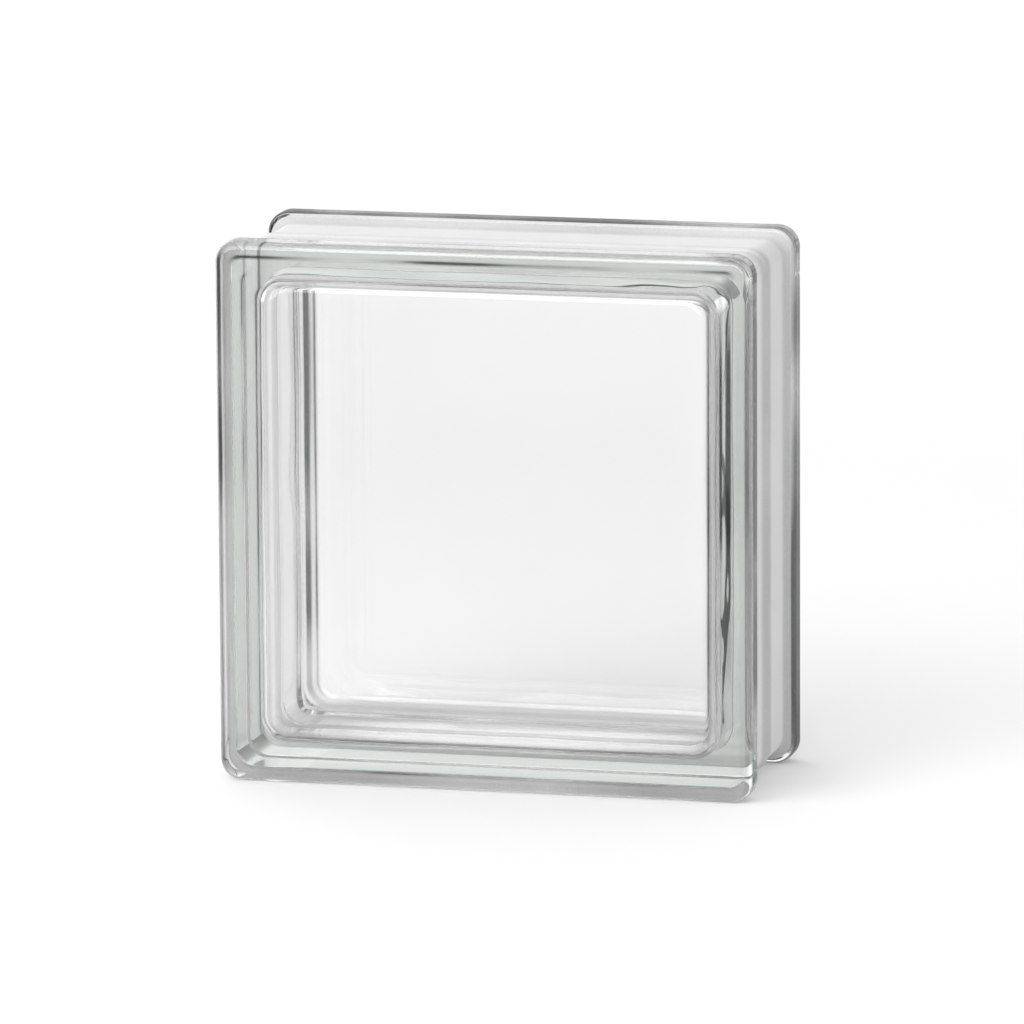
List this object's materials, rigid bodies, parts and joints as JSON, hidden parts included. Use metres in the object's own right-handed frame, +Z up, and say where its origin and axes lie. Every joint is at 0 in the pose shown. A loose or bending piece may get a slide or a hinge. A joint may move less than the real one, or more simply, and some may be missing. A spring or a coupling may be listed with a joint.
{
  "type": "glass block",
  "caption": "Hollow square clear glass building block with plain faces, full-size rims and a coated mortar groove round its four sides.",
  "frame": {"origin": "centre of the underside of the two rims that the block stands on", "axes": "+Z up, +X across the block along its width, Y through the block from face to face; the front face looks towards -Y and the fused seam lies in the plane y = 0"},
  "size_m": [0.19, 0.08, 0.19],
  "materials": {
    "clear_glass": "clear pressed soda-lime glass with a faint green tint in the thick rims, and a satin pale edge coat in the mortar groove"
  },
  "bodies": {
    "root": {"front_shell": "clear_glass", "back_shell": "clear_glass"}
  },
  "joints": []
}
